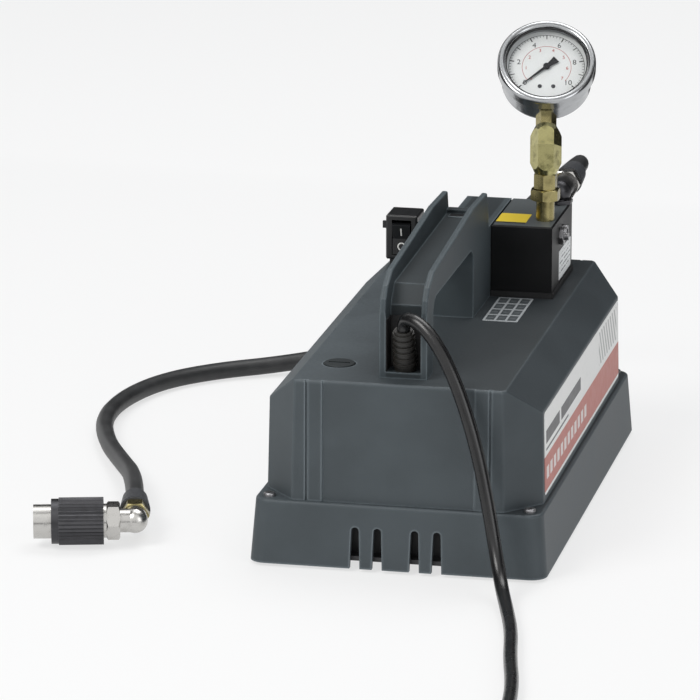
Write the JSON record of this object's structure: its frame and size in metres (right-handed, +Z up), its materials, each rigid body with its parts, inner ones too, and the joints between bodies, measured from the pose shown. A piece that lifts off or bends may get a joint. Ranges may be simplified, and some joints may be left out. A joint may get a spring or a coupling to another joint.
{
  "type": "electric hydraulic power pump",
  "caption": "Portable electric hydraulic pump with a moulded housing, carry handle, tilted pressure gauge, rocker switch, mains cord and outlet hose with quick coupler.",
  "frame": {"origin": "on the floor under the middle of the housing", "axes": "+Z up, front (cord end) faces -Y, +X to the right seen from the front"},
  "size_m": [0.5706, 0.904, 0.308],
  "materials": {
    "housing": "fine moulded grain",
    "handle": "fine moulded grain",
    "chassis": "satin black",
    "rubber": "matt",
    "screw_steel": "zinc plated",
    "tank_steel": "satin black",
    "gasket": "matt",
    "cap_plastic": "moulded",
    "pipe_steel": "drawn",
    "motor_steel": "satin black",
    "magnet": "sintered",
    "alloy": "die cast",
    "bearing_steel": "ground",
    "shaft_steel": "ground",
    "lamination": "stacked sheet",
    "copper": "enamelled wire",
    "carbon": "pressed carbon",
    "fan_plastic": "moulded",
    "iron": "as cast",
    "spring_steel": "drawn wire",
    "block_steel": "black coated, satin",
    "brass": "machined",
    "zinc": "yellow zinc plated",
    "dark_steel": "black oxide",
    "stainless": "polished",
    "dial_white": "satin white",
    "needle_black": "satin black",
    "lens": "clear",
    "switch_black": "moulded",
    "cord_rubber": "satin",
    "plug_rubber": "satin",
    "plated": "nickel plated",
    "hose_rubber": "smooth cover",
    "sleeve_rubber": "ribbed"
  },
  "bodies": {
    "pump": {"base_skirt": "housing", "shroud": "housing", "carry_handle": "handle", "base_plate": "chassis", "rubber_feet": "rubber", "cover_screws": "screw_steel", "oil_tank": "tank_steel", "tank_gasket": "gasket", "tank_lid": "tank_steel", "suction_pipe": "pipe_steel", "intake_strainer": "pipe_steel", "motor_can": "motor_steel", "field_magnets": "magnet", "pump_end_bell": "alloy", "brush_end_bell": "alloy", "shaft_bearings": "bearing_steel", "carbon_brushes": "carbon", "pump_body": "iron", "low_piston": "shaft_steel", "high_piston": "shaft_steel", "low_piston_spring": "spring_steel", "high_piston_spring": "spring_steel", "block_gasket": "gasket", "valve_block": "block_steel", "block_bolts": "dark_steel", "relief_valve": "screw_steel", "port_plug": "screw_steel", "gauge_riser": "brass", "gauge_lock_nut": "brass", "gauge_elbow": "zinc", "gauge_stem": "brass", "bourdon_tube": "brass", "gauge_case": "stainless", "gauge_bezel": "stainless", "gauge_dial": "dial_white", "gauge_lens": "lens", "switch_box": "switch_black", "strain_relief": "rubber", "power_cord": "cord_rubber", "power_cord_coil": "cord_rubber", "mains_plug": "plug_rubber", "plug_pins": "plated", "outlet_elbow": "dark_steel", "outlet_nut": "plated", "hose_sleeves": "sleeve_rubber", "hose": "hose_rubber", "end_adapter": "brass", "end_elbow": "plated", "coupler_body": "plated"},
    "rotor": {"eccentric_shaft": "shaft_steel", "armature": "lamination", "armature_windings": "copper", "commutator": "copper", "cooling_fan": "fan_plastic", "cam_ring": "bearing_steel"},
    "rocker": {"switch_rocker": "switch_black"},
    "needle": {"gauge_needle": "needle_black"},
    "cap_seal": {"filler_seal": "rubber"},
    "cap": {"filler_cap": "cap_plastic"},
    "collar": {"coupler_collar": "dark_steel"}
  },
  "joints": [
    {"name": "motor_spin", "type": "hinge", "parent": "pump", "child": "rotor", "pos_m": [0, 0.103, 0.062], "axis": [1, 0, 0], "continuous": true},
    {"name": "switch_rock", "type": "hinge", "parent": "pump", "child": "rocker", "pos_m": [-0.0615, 0.14, 0.14775], "axis": [-1, 0, 0], "range_deg": [0, 16]},
    {"name": "gauge_sweep", "type": "hinge", "parent": "pump", "child": "needle", "pos_m": [0.04307, 0.12753, 0.27328], "axis": [0.1228, -0.6964, 0.7071], "range_deg": [-262, 0]},
    {"name": "cap_lift", "type": "slide", "parent": "pump", "child": "cap_seal", "axis": [0, 0, 1], "range_m": [0, 0.0075]},
    {"name": "cap_turn", "type": "hinge", "parent": "cap_seal", "child": "cap", "pos_m": [-0.049, -0.133, 0.1215], "axis": [0, 0, 1], "range_deg": [0, 1800]},
    {"name": "collar_turn", "type": "hinge", "parent": "pump", "child": "collar", "pos_m": [-0.19337, -0.16169, 0.01707], "axis": [-0.9679, -0.2513, 0], "continuous": true}
  ],
  "couplings": [
    {"joint": "cap_turn", "follows": "cap_lift", "rad_per_m": 4188.8}
  ]
}
